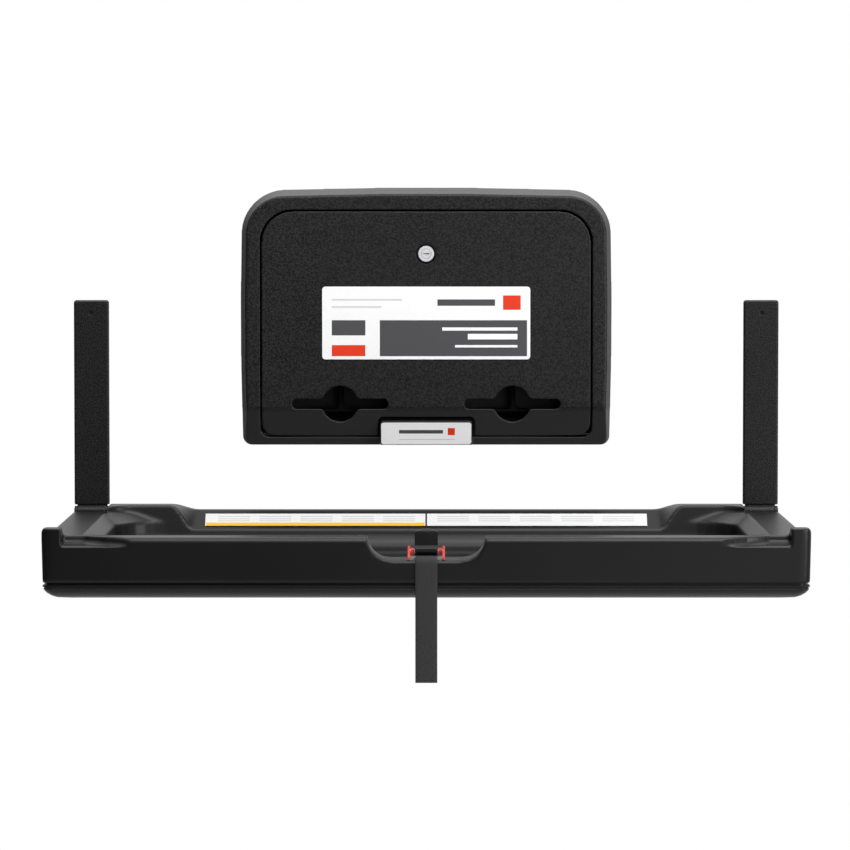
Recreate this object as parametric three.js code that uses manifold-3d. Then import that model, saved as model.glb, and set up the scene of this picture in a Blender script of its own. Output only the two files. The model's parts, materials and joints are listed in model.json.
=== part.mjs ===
// Wall-mounted baby changing station: a fold-down tray on two hinge arms, with a liner dispenser above it.
// Millimetres, +Z up. The wall is the plane y = 0, and the room lies towards -Y.
// The origin is the middle of the dispenser's back, on the wall. Tray and arms are placed from the deck.
import * as THREE from "three";
import { mergeVertices } from "three/addons/utils/BufferGeometryUtils.js";
import Module from "manifold-3d";

const wasm = await Module();
wasm.setup();

// Driving dimensions
const GAP = 0.3; // between pieces that touch
const DECK_Z = -245; // level of the tray's side decks

const CASE = {
  halfWidth: 234.4,
  top: 162.9,
  bottom: -162,
  depth: 60,
  wall: 3,
  topRadius: 53,
  bottomRadius: 11,
  sideBow: 3, // how much narrower the sides are at top and bottom
  crown: 4.5, // how much lower the top edge is at its ends
  draft: 7.6, // inset of the sides where the front edge begins to round
  edge: 3.2, // further inset of the rounded front edge
};
const CHIN = { start: -110, radius: 13, angle: THREE.MathUtils.degToRad(33) };
const DOOR = {
  halfWidth: 205.5,
  top: 132.6,
  bottom: -148,
  topRadius: 39,
  bottomRadius: 10,
  heel: 16, // the door's own lower corners, which swing past those of its opening
  thickness: 3,
  gap: 2.4,
};
const DOOR_AXIS = { y: -36, z: -146.5 };
const SLOT = { x: 107.8, z: -108, length: 120, height: 12.6, hole: 22.5, fillet: 4 };
const TAB = { halfWidth: 57.5, top: -129, bottom: -160, gap: 4.5 };
const LOCK = { z: 80, faceRadius: 9.8, ringRadius: 12.5, camReach: 46 };
const DOOR_PLATE = { width: 260, height: 91, z: -6.5, radius: 4, thickness: 0.8 };
const DOOR_PIN = { radius: 1.2, hole: 1.5, x: [189, 216], knuckle: [184, 196.5], lug: [209.5, 219] };
const BACK = { thickness: 2.5, holeX: 150, holeZ: [-60, 95], holeRadius: 3.6 };
const SHELF = { top: -116, halfWidth: 196, front: -29, back: -2.9, thickness: 2.5, flange: 12 };
const LINER_POST = { radius: 4.5, foot: 7, y: -22, top: -72 };
const DIVIDER = { halfThickness: 1.2, halfFoot: 9, front: -30, top: 55 };
const SCREW = { shank: 1.5, tapped: 1.9, clearance: 2.2, head: 4, sink: 4.4, boss: 7 };

const ARM = {
  x: 422.3,
  halfWidth: 22,
  top: 266, // above the deck
  bottom: 7.6,
  depth: 13,
  wall: 2.5,
  holeBelowTop: 16.4,
};
const HINGE = { y: -15, barrel: 7, pin: 4, bush: 5, ear: 6.5, earThickness: 3.6, neck: 21.2 };
const PLATE = { thickness: 3, halfWidth: 19, bottom: -60, holeRadius: 3.6 };

const TRAY = {
  halfWidth: 444.5,
  front: -500,
  back: -8,
  skin: 4,
  parting: -49.6, // level of the groove between shell and base
  groove: 3,
  bottom: -68.6,
  cornerRadius: 12,
  draft: 1.1,
  baseRound: 28,
  bead: 1.7, // ridge round the top of the base, with a second groove under it
};
const BASIN = {
  halfWidth: 403,
  bevel: 16,
  bevelDepth: 12,
  rear: -49, // at the floor
  rearSlope: 0.22, // how far the rear wall leans back for each unit of height
  floor: -52,
  cove: 24,
  topCorner: 38,
  corner: 58,
};
const SPLIT = { x: 362, y: -404 }; // where the shell is divided into ends, front and bed
const LIP = { height: 4, width: 30, slope: 0.77 };
const RIM = { height: 9, end: 399.5, shoulder: 321, foot: 286, centre: 2, width: 33, drop: 29.3 };
const POST = { height: 14, inner: 421, depth: 28, round: 5 };
const LEDGE = { drop: 7.5, deep: 396, shallow: 371, end: 342, depth: 24, shallowDepth: 8 };
const SCOOP = { halfTop: 68, halfBottom: 40.5, floor: -23 };
const STRAP = { width: 25.4, thickness: 1.6, tailEnd: -164.5 };
const BUCKLE = { halfWidth: 21.5, front: -494, back: -465, top: -8, axleY: -482, axleZ: -13.5 };
const LEVER = { cam: 5, nose: 8.5, tall: 26.5, shoulder: 22.5, crown: 29 };
const AXLE = { radius: 2, hole: 2.3, sleeve: 4, sleeveX: [13.8, 18.4], cheekX: 18.7 };
const BRACKET = { seat: [-11.5, -7.8], heel: -9.8, tongueHalf: 11, tongueEnd: -72, leg: [-37, -13.5] };
const TUBE = { y: [-35, -15], z: [-46, -28], wall: 2 };
const BUMPER = { halfWidth: 14, z: [-50, -32], round: 4 };
const REAR_STRIP = { x: [1, 278], y: [-7.5, 13.7], thickness: 0.5, above: 0.5 };
const ANCHOR = { y: -92, halfSlot: 14, slotDepth: 5, halfWidth: 22, halfDepth: 12, thickness: 2 };
const ANCHOR_BAR = { radius: 1.8, halfLength: 20, z: -60 };
const FAR = 400; // past every piece, for tools that cut right through

// Finishes
const finish = (color, roughness, metalness = 0) =>
  new THREE.MeshStandardMaterial({ color, roughness, metalness });
const FINISHES = {
  grained: () => finish(0x2d2d2d, 0.6),
  arm: () => finish(0x232323, 0.6),
  tray: () => finish(0x262626, 0.45),
  steel: () => finish(0x2a2a2c, 0.5, 0.6),
  bright: () => finish(0xb8b8bc, 0.3, 0.9),
  nylon: () => finish(0xd8d6cc, 0.6),
  rubber: () => finish(0x1a1a1a, 0.9),
  plate: () => finish(0xf0f0f0, 0.5),
  webbing: () => finish(0x303030, 0.9),
  red: () => finish(0xa8222c, 0.45),
  lever: () => finish(0x1d1d1f, 0.4),
};

// A closed geometry as a solid that can be joined and cut
function solid(geometry) {
  const bare = new THREE.BufferGeometry();
  const loose = geometry.index ? geometry.toNonIndexed() : geometry;
  bare.setAttribute("position", loose.getAttribute("position").clone());
  const merged = mergeVertices(bare, 1e-3);
  const mesh = new wasm.Mesh({
    numProp: 3,
    vertProperties: merged.attributes.position.array,
    triVerts: new Uint32Array(merged.index.array),
  });
  return new wasm.Manifold(mesh);
}

// A solid's faces as a geometry
function geometryOf(made) {
  const mesh = made.getMesh();
  const geometry = new THREE.BufferGeometry();
  geometry.setAttribute("position", new THREE.BufferAttribute(mesh.vertProperties, 3));
  geometry.setIndex(new THREE.BufferAttribute(mesh.triVerts, 1));
  geometry.computeVertexNormals();
  return geometry;
}

const join = (...solids) => solids.reduce((a, b) => a.add(b));
const cut = (base, ...tools) => tools.reduce((a, b) => a.subtract(b), base);

// A stretch of X on the left (side -1) or on the right (side 1), low end first
const mirrored = (side, from, to) => [side * from, side * to].sort((a, b) => a - b);

function box(x, y, z) {
  const geometry = new THREE.BoxGeometry(x[1] - x[0], y[1] - y[0], z[1] - z[0]);
  geometry.translate((x[0] + x[1]) / 2, (y[0] + y[1]) / 2, (z[0] + z[1]) / 2);
  return solid(geometry);
}

const shapeOf = (outline) =>
  outline instanceof THREE.Shape
    ? outline
    : new THREE.Shape(outline.map(([u, v]) => new THREE.Vector2(u, v)));

function extrusion(outline, depth, curveSegments) {
  return new THREE.ExtrudeGeometry(shapeOf(outline), {
    depth,
    bevelEnabled: false,
    curveSegments,
  });
}

// An outline in (y, z), drawn out along X
function alongX(outline, x, curveSegments = 8) {
  const turn = new THREE.Matrix4().set(0, 0, 1, x[0], 1, 0, 0, 0, 0, 1, 0, 0, 0, 0, 0, 1);
  return solid(extrusion(outline, x[1] - x[0], curveSegments).applyMatrix4(turn));
}

// An outline in (x, z), drawn out along Y
function alongY(outline, y, curveSegments = 8) {
  const geometry = extrusion(outline, y[1] - y[0], curveSegments);
  return solid(geometry.rotateX(Math.PI / 2).translate(0, y[1], 0));
}

// A round rod along an axis; at gives the other two coordinates in X, Y, Z order
function rod(axis, radius, span, at, sides = 20) {
  const [from, to] = span;
  const geometry = new THREE.CylinderGeometry(radius, radius, to - from, sides);
  geometry.translate(0, (from + to) / 2, 0);
  if (axis === "x") geometry.rotateZ(-Math.PI / 2).translate(0, at[0], at[1]);
  if (axis === "y") geometry.translate(at[0], 0, at[1]);
  if (axis === "z") geometry.rotateX(Math.PI / 2).translate(at[0], at[1], 0);
  return solid(geometry);
}

// A closed solid through rings of points, with flat ends; flat gives a ring point's plane coordinates
function loft(rings, flat) {
  const count = rings[0].length;
  const triangles = [];
  for (let r = 0; r + 1 < rings.length; r++)
    for (let i = 0; i < count; i++) {
      const j = (i + 1) % count;
      const [a, b, c, d] = [r * count + i, r * count + j, (r + 1) * count + j, (r + 1) * count + i];
      triangles.push(a, b, c, a, c, d);
    }
  const last = (rings.length - 1) * count;
  const outline = rings.map((ring) => ring.map((p) => new THREE.Vector2(...flat(p))));
  const clockwise = THREE.ShapeUtils.isClockWise(outline[0]);
  for (const [a, b, c] of THREE.ShapeUtils.triangulateShape(outline[0], []))
    triangles.push(...(clockwise ? [a, b, c] : [a, c, b]));
  for (const [a, b, c] of THREE.ShapeUtils.triangulateShape(outline.at(-1), []))
    triangles.push(...(clockwise ? [last + a, last + c, last + b] : [last + a, last + b, last + c]));
  const points = rings.flat();
  const geometry = new THREE.BufferGeometry().setFromPoints(points);
  const volume = (k) =>
    points[triangles[k]].dot(points[triangles[k + 1]].clone().cross(points[triangles[k + 2]]));
  let signed = 0;
  for (let k = 0; k < triangles.length; k += 3) signed += volume(k);
  geometry.setIndex(signed < 0 ? triangles.reverse() : triangles);
  return solid(geometry);
}

const acrossX = (p) => [p.y, p.z];
const acrossY = (p) => [p.x, p.z];
const acrossZ = (p) => [p.x, p.y];

// A rounded rectangle as points; radii are for the low-v and the high-v corners, mid adds points on each side
function roundedPoints(u, v, lowRadius, highRadius, steps, mid = 0) {
  const corners = [
    [u[1] - lowRadius, v[0] + lowRadius, lowRadius, -90],
    [u[1] - highRadius, v[1] - highRadius, highRadius, 0],
    [u[0] + highRadius, v[1] - highRadius, highRadius, 90],
    [u[0] + lowRadius, v[0] + lowRadius, lowRadius, 180],
  ];
  const points = [];
  for (const [cu, cv, radius, start] of corners)
    for (let i = 0; i <= steps; i++) {
      const angle = THREE.MathUtils.degToRad(start + (90 * i) / steps);
      points.push([cu + radius * Math.cos(angle), cv + radius * Math.sin(angle)]);
    }
  if (!mid) return points;
  return points.flatMap((p, i) => {
    const q = points[(i + 1) % points.length];
    if (i % (steps + 1) !== steps) return [p];
    const between = Array.from({ length: mid }, (_, k) => (k + 1) / (mid + 1));
    return [p, ...between.map((t) => [p[0] + (q[0] - p[0]) * t, p[1] + (q[1] - p[1]) * t])];
  });
}

const roundedShape = (u, v, lowRadius, highRadius, steps = 6) =>
  shapeOf(roundedPoints(u, v, lowRadius, highRadius, steps));

// A strip of even thickness that follows points in (y, z)
function strip(points, thickness, halfWidth) {
  const line = points.map(([y, z]) => new THREE.Vector2(y, z));
  const side = (sign) =>
    line.map((p, i) => {
      const ahead = line[Math.min(i + 1, line.length - 1)];
      const behind = line[Math.max(i - 1, 0)];
      const along = ahead.clone().sub(behind).normalize();
      return [p.x - (along.y * sign * thickness) / 2, p.y + (along.x * sign * thickness) / 2];
    });
  const outline = [...side(1), ...side(-1).reverse()];
  return alongX(outline, [-halfWidth, halfWidth]);
}

const station = new THREE.Group();
const tray = new THREE.Group();
tray.position.z = DECK_Z;
station.add(tray);

function place(group, name, made, finishName) {
  const mesh = new THREE.Mesh(geometryOf(made), FINISHES[finishName]());
  mesh.name = name;
  group.add(mesh);
}

const SIDES = [
  ["left", -1],
  ["right", 1],
];

// Dispenser: the front surface is flat, then bends back below the slots as a chin
function frontLine(behind) {
  const radius = CHIN.radius - behind;
  const centreY = -CASE.depth + CHIN.radius;
  const points = [[-CASE.depth + behind, FAR]];
  for (let i = 0; i <= 4; i++) {
    const angle = (CHIN.angle * i) / 4;
    points.push([centreY - radius * Math.cos(angle), CHIN.start - radius * Math.sin(angle)]);
  }
  const [y, z] = points.at(-1);
  const run = 200;
  points.push([y + run * Math.sin(CHIN.angle), z - run * Math.cos(CHIN.angle)]);
  return points;
}

const frontSpan = [-FAR, FAR];
const aheadOfFront = (behind) =>
  alongX([...frontLine(behind), [-FAR, -FAR], [-FAR, FAR]], frontSpan);
const behindFront = (behind) =>
  alongX([...frontLine(behind), [FAR, -FAR], [FAR, FAR]], frontSpan);

function caseRing(inset, y) {
  const wide = CASE.halfWidth - inset;
  const high = [CASE.bottom + Math.min(inset, CASE.wall), CASE.top - inset];
  const corners = [Math.max(CASE.bottomRadius - inset / 2, 4), CASE.topRadius - inset];
  return roundedPoints([-wide, wide], high, ...corners, 10, 2).map(([x, z]) => {
    const narrow = CASE.sideBow * (z / CASE.top) ** 2 * (x / wide);
    const lower = z > 0 ? CASE.crown * (x / wide) ** 2 * (z / CASE.top) : 0;
    return new THREE.Vector3(x - narrow, y, z - lower);
  });
}

function doorOutline(grow, lowRadius) {
  const wide = DOOR.halfWidth + grow;
  const high = [DOOR.bottom - grow, DOOR.top + grow];
  return roundedShape([-wide, wide], high, lowRadius, DOOR.topRadius + grow, 8);
}

const casingScrewX = CASE.halfWidth - SCREW.boss - 5;
const casingScrewPlaces = [70, -95].flatMap((z) => SIDES.map(([, side]) => [side * casingScrewX, z]));

function dispenserCasing() {
  const { depth, wall, draft, edge } = CASE;
  const rounded = [0, 0.3, 0.6, 0.85, 1].map((t) =>
    caseRing(draft + edge * (1 - Math.sqrt(1 - t * t)), -depth + edge * 1.2 * (1 - t)),
  );
  const body = loft([caseRing(0, 0), ...rounded], acrossY);
  const inside = loft(
    [caseRing(wall, 1), caseRing(wall + draft, -depth + 6), caseRing(wall + draft, -depth - 1)],
    acrossY,
  );
  const opening = alongY(doorOutline(DOOR.gap, DOOR.bottomRadius + DOOR.gap), [-depth - 5, -15]);
  const bosses = casingScrewPlaces.map(([x, z]) => rod("y", SCREW.boss, [-24, -4], [x, z], 16));
  const holes = casingScrewPlaces.map(([x, z]) => rod("y", SCREW.tapped, [-22, 1], [x, z], 12));
  const { y, z } = DOOR_AXIS;
  const lugs = SIDES.map(([, side]) =>
    box(mirrored(side, ...DOOR_PIN.lug), [y - 4, y + 5], [z - 5.5, z + 4.5]),
  );
  const pinHoles = SIDES.map(([, side]) =>
    rod("x", DOOR_PIN.hole, mirrored(side, DOOR.halfWidth - 4, DOOR_PIN.x[1] + 1.5), [y, z], 12),
  );
  const hollow = inside.subtract(aheadOfFront(wall));
  const shell = cut(body, aheadOfFront(0), hollow, opening);
  const lugSolids = lugs.map((lug) => lug.subtract(aheadOfFront(1)));
  return cut(join(shell, ...bosses, ...lugSolids, nameTab()), ...holes, ...pinHoles);
}

// The tab under the door leans back less than the chin, and its foot joins the casing's lower lip
const tabLine = { topY: -51, bottomY: -43, thickness: 5 };

function nameTab() {
  const { topY, bottomY, thickness } = tabLine;
  const leaf = [
    [topY, TAB.top],
    [bottomY, TAB.bottom],
    [bottomY + thickness + 8, TAB.bottom],
    [bottomY + thickness + 8, DOOR.bottom - DOOR.gap - 1],
    [bottomY + thickness, DOOR.bottom - DOOR.gap - 1],
    [topY + thickness, TAB.top],
  ];
  const ends = roundedShape([-TAB.halfWidth, TAB.halfWidth], [TAB.bottom - 9, TAB.top], 4, 4);
  return alongX(leaf, [-TAB.halfWidth, TAB.halfWidth]).intersect(alongY(ends, [-70, 0]));
}

function tabPlate() {
  const { topY, bottomY } = tabLine;
  const tall = TAB.top - TAB.bottom;
  const at = (down, ahead) => [
    topY + ((bottomY - topY) * down) / tall - ahead,
    TAB.top - down,
  ];
  const thickness = 0.6;
  const margin = { top: 2.6, bottom: 0.8, side: 1 };
  const leaf = [
    at(0, GAP),
    at(tall, GAP),
    at(tall, GAP + thickness),
    at(0, GAP + thickness),
  ];
  const half = TAB.halfWidth - margin.side;
  const high = [TAB.bottom + margin.bottom, TAB.top - margin.top];
  const corners = alongY(roundedShape([-half, half], high, 3, 3, 4), [-FAR, 0]);
  return alongX(leaf, [-half, half]).intersect(corners);
}

// A pull slot with a round finger hole, the two joined by small fillets
function pullSlot(x) {
  const { length, height, hole, fillet } = SLOT;
  const half = height / 2;
  const end = length / 2 - half;
  const centreV = half + fillet;
  const centreU = Math.sqrt((hole + fillet) ** 2 - centreV ** 2);
  const meet = Math.atan2(centreV, centreU);
  const shape = new THREE.Shape();
  shape.absarc(end, 0, half, -Math.PI / 2, Math.PI / 2, false);
  shape.absarc(centreU, centreV, fillet, -Math.PI / 2, meet - Math.PI, true);
  shape.absarc(0, 0, hole, meet, Math.PI - meet, false);
  shape.absarc(-centreU, centreV, fillet, -meet, -Math.PI / 2, true);
  shape.absarc(-end, 0, half, Math.PI / 2, Math.PI * 1.5, false);
  shape.absarc(-centreU, -centreV, fillet, Math.PI / 2, meet, true);
  shape.absarc(0, 0, hole, Math.PI + meet, 2 * Math.PI - meet, false);
  shape.absarc(centreU, -centreV, fillet, Math.PI - meet, Math.PI / 2, true);
  const through = [-CASE.depth - 5, -20];
  return alongY(shape, through, 6).translate([x, 0, SLOT.z]);
}

function doorPanel() {
  const blank = alongY(doorOutline(0, DOOR.heel), [-CASE.depth - 5, -20]);
  const skin = blank.subtract(behindFront(DOOR.thickness));
  const notchHalf = TAB.halfWidth + 3;
  const notch = roundedShape([-notchHalf, notchHalf], [-170, TAB.top + TAB.gap], 4, 6);
  const { y, z } = DOOR_AXIS;
  const knuckles = SIDES.map(([, side]) =>
    box(mirrored(side, ...DOOR_PIN.knuckle), [y - 12, y + 4], [DOOR.bottom + 0.4, z + 5.5]),
  );
  const pinHoles = SIDES.map(([, side]) =>
    rod("x", DOOR_PIN.hole, mirrored(side, DOOR_PIN.x[0] - 1, DOOR.halfWidth - 3), [y, z], 12),
  );
  const seat = rod("y", LOCK.ringRadius + GAP, [-CASE.depth - 2, -CASE.depth + 1.2], [0, LOCK.z], 28);
  const bore = rod("y", LOCK.faceRadius - 1 + GAP, [-CASE.depth - 2, -CASE.depth + 9], [0, LOCK.z], 24);
  return cut(
    join(skin, ...knuckles),
    aheadOfFront(0),
    alongY(notch, [-70, -15]),
    pullSlot(-SLOT.x),
    pullSlot(SLOT.x),
    ...pinHoles,
    seat,
    bore,
  );
}

function doorPlate() {
  const wide = DOOR_PLATE.width / 2;
  const high = [DOOR_PLATE.z - DOOR_PLATE.height / 2, DOOR_PLATE.z + DOOR_PLATE.height / 2];
  const outline = roundedShape([-wide, wide], high, DOOR_PLATE.radius, DOOR_PLATE.radius, 4);
  const back = -CASE.depth - GAP;
  return alongY(outline, [back - DOOR_PLATE.thickness, back]);
}

function dispenserBack() {
  const rings = [caseRing(CASE.wall + 0.6, 0), caseRing(CASE.wall + 0.9, -BACK.thickness)];
  const wallHoles = SIDES.flatMap(([, side]) =>
    BACK.holeZ.map((z) => rod("y", BACK.holeRadius, [-4, 1], [side * BACK.holeX, z], 16)),
  );
  const screwHoles = casingScrewPlaces.map(([x, z]) =>
    join(rod("y", SCREW.clearance, [-4, 1], [x, z], 12), rod("y", SCREW.sink, [-1.8, 1], [x, z], 16)),
  );
  return cut(loft(rings, acrossY), ...wallHoles, ...screwHoles);
}

// A screw along Y whose flat head lies at the wall side
function casingScrew(x, z) {
  const head = rod("y", SCREW.head, [-1.5, -0.2], [x, z], 16);
  return head.add(rod("y", SCREW.shank, [-20, -1.4], [x, z], 12));
}

// Lock: ring, barrel and nut stay on the door; plug and cam turn inside them
const lockAt = [0, LOCK.z];
const lockFront = -CASE.depth - 1.6;
const camY = [-37, -35];

function lockRing() {
  const ring = rod("y", LOCK.ringRadius, [-CASE.depth - 0.7, -CASE.depth + 0.9], lockAt, 28);
  return ring.subtract(rod("y", LOCK.faceRadius + GAP, [-CASE.depth - 3, 0], lockAt, 28));
}

function lockBarrel() {
  const head = rod("y", LOCK.faceRadius, [lockFront, -CASE.depth + 0.9], lockAt, 28);
  const sleeve = rod("y", LOCK.faceRadius - 1, [-CASE.depth, camY[0] - GAP], lockAt, 24);
  return join(head, sleeve).subtract(rod("y", 6.3, [-80, 0], lockAt, 24));
}

function lockNut() {
  const back = -CASE.depth + DOOR.thickness + GAP;
  const nut = rod("y", 13, [back, back + 4], lockAt, 6);
  return nut.subtract(rod("y", LOCK.faceRadius - 1 + GAP, [-80, 0], lockAt, 24));
}

function lockPlug() {
  const plug = rod("y", 6, [lockFront, camY[0] - GAP], lockAt, 24);
  const keyway = box([-4, 4], [-90, lockFront + 4], [LOCK.z - 0.7, LOCK.z + 0.7]);
  const screwHole = rod("y", SCREW.tapped, [-46, 0], lockAt, 12);
  return cut(plug, keyway, screwHole);
}

// At rest the cam points sideways, clear of the strike, so the door can open
function lockCam() {
  const arm = roundedShape([-9, LOCK.camReach], [LOCK.z - 7, LOCK.z + 7], 6, 6, 4);
  return alongY(arm, camY).subtract(rod("y", SCREW.tapped, [-50, 0], lockAt, 12));
}

function camScrew() {
  const head = rod("y", SCREW.head, [camY[1] + GAP, camY[1] + 2.6], lockAt, 16);
  return head.add(rod("y", SCREW.shank, [-44, camY[1] + 0.5], lockAt, 12));
}

// The strike is a shelf from the back plate with a lip that hangs in front of the locked cam
function lockStrike() {
  const wide = [-14, 14];
  const lipY = camY[0] - 3.2;
  const shelf = [LOCK.z + LOCK.camReach + 3, LOCK.z + LOCK.camReach + 5];
  const foot = -BACK.thickness - GAP;
  return join(
    box(wide, [lipY, -5], shelf),
    box(wide, [lipY, lipY + 2.4], [shelf[0] - 14, shelf[1]]),
    box(wide, [-5, foot], [shelf[0], shelf[1] + 19]),
  );
}

function linerShelf() {
  const { top, halfWidth, front, back, thickness, flange } = SHELF;
  const wide = [-halfWidth, halfWidth];
  const shelf = box(wide, [front, back], [top - thickness, top]);
  return shelf.add(box(wide, [back - thickness, back], [top - flange, top]));
}

const onShelf = SHELF.top + GAP;

function linerDivider() {
  const { halfThickness, halfFoot, front, top } = DIVIDER;
  const foot = box([-halfFoot, halfFoot], [front + 4, -5], [onShelf, onShelf + 2]);
  return foot.add(box([-halfThickness, halfThickness], [front, SHELF.back], [onShelf, top]));
}

function linerPost(x) {
  const { radius, foot, y, top } = LINER_POST;
  const column = rod("z", radius, [onShelf, top], [x, y], 16);
  return column.add(rod("z", foot, [onShelf, onShelf + 2.7], [x, y], 16));
}

function doorPin(side) {
  return rod("x", DOOR_PIN.radius, mirrored(side, ...DOOR_PIN.x), [DOOR_AXIS.y, DOOR_AXIS.z], 12);
}

place(station, "dispenser_back", dispenserBack(), "steel");
place(station, "dispenser_casing", dispenserCasing(), "grained");
casingScrewPlaces.forEach(([x, z], i) =>
  place(station, `casing_screw_${i + 1}`, casingScrew(x, z), "bright"),
);
place(station, "tab_plate", tabPlate(), "plate");
place(station, "lock_strike", lockStrike(), "bright");
place(station, "liner_shelf", linerShelf(), "grained");
place(station, "liner_divider", linerDivider(), "grained");
place(station, "door_panel", doorPanel(), "grained");
place(station, "door_plate", doorPlate(), "plate");
place(station, "lock_ring", lockRing(), "lever");
place(station, "lock_barrel", lockBarrel(), "bright");
place(station, "lock_nut", lockNut(), "bright");
place(station, "lock_plug", lockPlug(), "bright");
place(station, "lock_cam", lockCam(), "bright");
place(station, "cam_screw", camScrew(), "bright");
for (const [word, side] of SIDES) {
  place(station, `liner_post_${word}`, linerPost(side * SLOT.x), "lever");
  place(station, `door_pin_${word}`, doorPin(side), "bright");
}

// Arms: built about their own middle, with heights above the deck
const armScrewZ = ARM.top - ARM.holeBelowTop;
const plateHoles = [ARM.top - 50, 120, 50, -42];

function wallPlate() {
  const high = [PLATE.bottom, ARM.top - ARM.wall - 1];
  const outline = roundedShape([-PLATE.halfWidth, PLATE.halfWidth], high, 5, 3, 4);
  const holes = plateHoles.map((z) => rod("y", PLATE.holeRadius, [-9, 9], [0, z], 16));
  const screwHole = rod("y", 1.7, [-9, 9], [0, armScrewZ], 12);
  return cut(alongY(outline, [-PLATE.thickness, 0]), ...holes, screwHole);
}

function armCover() {
  const { halfWidth, depth, wall } = ARM;
  const high = [ARM.bottom, ARM.top];
  const shell = alongY(roundedShape([-halfWidth, halfWidth], high, 1, 3, 4), [-depth + 2, -GAP]);
  const face = roundedShape([-halfWidth + 1.2, halfWidth - 1.2], [high[0], high[1] - 1.2], 1, 3, 4);
  const front = alongY(face, [-depth, -depth + 2.5]);
  const inner = halfWidth - wall;
  const hollow = box([-inner, inner], [-depth + wall, 5], [ARM.bottom - 5, ARM.top - wall]);
  const boss = rod("y", 4.5, [-depth + 1, -PLATE.thickness - GAP], [0, armScrewZ], 16);
  const bore = rod("y", 2.25, [-depth - 1, 1], [0, armScrewZ], 16);
  return cut(join(cut(join(shell, front), hollow), boss), bore);
}

// The screw sits deep in its hole and threads into the wall plate
function coverScrew() {
  const head = rod("y", 1.95, [-ARM.depth + 3, -ARM.depth + 5], [0, armScrewZ], 12);
  return head.add(rod("y", 1.3, [-ARM.depth + 4, -0.5], [0, armScrewZ], 12));
}

function hingeKnuckle() {
  const back = -PLATE.thickness - GAP;
  const inner = HINGE.neck - HINGE.earThickness - 0.5;
  const insideCover = ARM.halfWidth - ARM.wall - 0.6;
  const neckTop = 36;
  const neckY = [-ARM.depth + ARM.wall + 0.7, back];
  const neck = box([-insideCover, insideCover], neckY, [ARM.bottom, neckTop]);
  const bridge = box([-inner, inner], [-ARM.depth - 1.4, back], [2, ARM.bottom - GAP]);
  const web = box([-inner, inner], neckY, [2, neckTop - 1]);
  const barrel = rod("x", HINGE.barrel, [-inner, inner], [HINGE.y, 0], 24);
  const joined = join(neck, bridge, web, barrel);
  const wallScrew = rod("y", 6, [-30, 5], [0, plateHoles[2]], 16);
  return cut(joined, rod("x", HINGE.bush + GAP, [-40, 40], [HINGE.y, 0], 24), wallScrew);
}

function hingeBush() {
  const half = HINGE.neck - HINGE.earThickness - 0.5;
  const sleeve = rod("x", HINGE.bush, [-half, half], [HINGE.y, 0], 24);
  return sleeve.subtract(rod("x", HINGE.pin + GAP, [-40, 40], [HINGE.y, 0], 24));
}

function hingePin() {
  return rod("x", HINGE.pin, [-HINGE.neck - 0.6, HINGE.neck + 0.6], [HINGE.y, 0], 24);
}

// The tray's bracket: two ears on the pin, a tongue under the deck and a leg that meets the cross tube.
// inwards is the direction from the arm towards the middle of the tray.
function hingeBracket(inwards) {
  const { neck, earThickness, ear } = HINGE;
  const { seat, heel, tongueHalf, tongueEnd, leg } = BRACKET;
  const ears = SIDES.map(([, side]) => {
    const x = mirrored(side, neck, neck - earThickness);
    const stem = box(x, [HINGE.y - ear, heel], [seat[0], 0]);
    return rod("x", ear, x, [HINGE.y, 0], 24).add(stem);
  });
  const base = box([-neck, neck], [HINGE.y - 7.5, heel], seat);
  const tongue = box([-tongueHalf, tongueHalf], [tongueEnd, HINGE.y - 5], seat);
  const legPlate = box(mirrored(inwards, neck, neck - earThickness), leg, [TUBE.z[0], seat[0] + 1]);
  const pinHole = rod("x", HINGE.pin + 0.15, [-40, 40], [HINGE.y, 0], 24);
  return cut(join(...ears, base, tongue, legPlate), pinHole);
}

for (const [word, side] of SIDES) {
  const arm = new THREE.Group();
  arm.position.set(side * ARM.x, 0, DECK_Z);
  station.add(arm);
  place(arm, `wall_plate_${word}`, wallPlate(), "steel");
  place(arm, `arm_cover_${word}`, armCover(), "arm");
  place(arm, `cover_screw_${word}`, coverScrew(), "bright");
  place(arm, `hinge_knuckle_${word}`, hingeKnuckle(), "steel");
  place(arm, `hinge_bush_${word}`, hingeBush(), "nylon");
  place(arm, `hinge_pin_${word}`, hingePin(), "bright");
  place(arm, `hinge_bracket_${word}`, hingeBracket(-side), "steel");
}

// Tray: heights are above the deck
function trayRing(inset, z) {
  const wide = TRAY.halfWidth - inset;
  const radius = Math.max(TRAY.cornerRadius - inset / 2, 3);
  const deep = [TRAY.front + inset, TRAY.back - inset];
  return roundedPoints([-wide, wide], deep, radius, radius, 4).map(
    ([x, y]) => new THREE.Vector3(x, y, z),
  );
}

// The basin's front wall leans, and a cove of one radius joins every wall to the floor
const coveInset = (z) => {
  const up = z - BASIN.floor;
  return up < BASIN.cove ? BASIN.cove - Math.sqrt(BASIN.cove ** 2 - (BASIN.cove - up) ** 2) : 0;
};
const frontWall = (z) => TRAY.front + LIP.width + (LIP.height - z) * LIP.slope;

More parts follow.
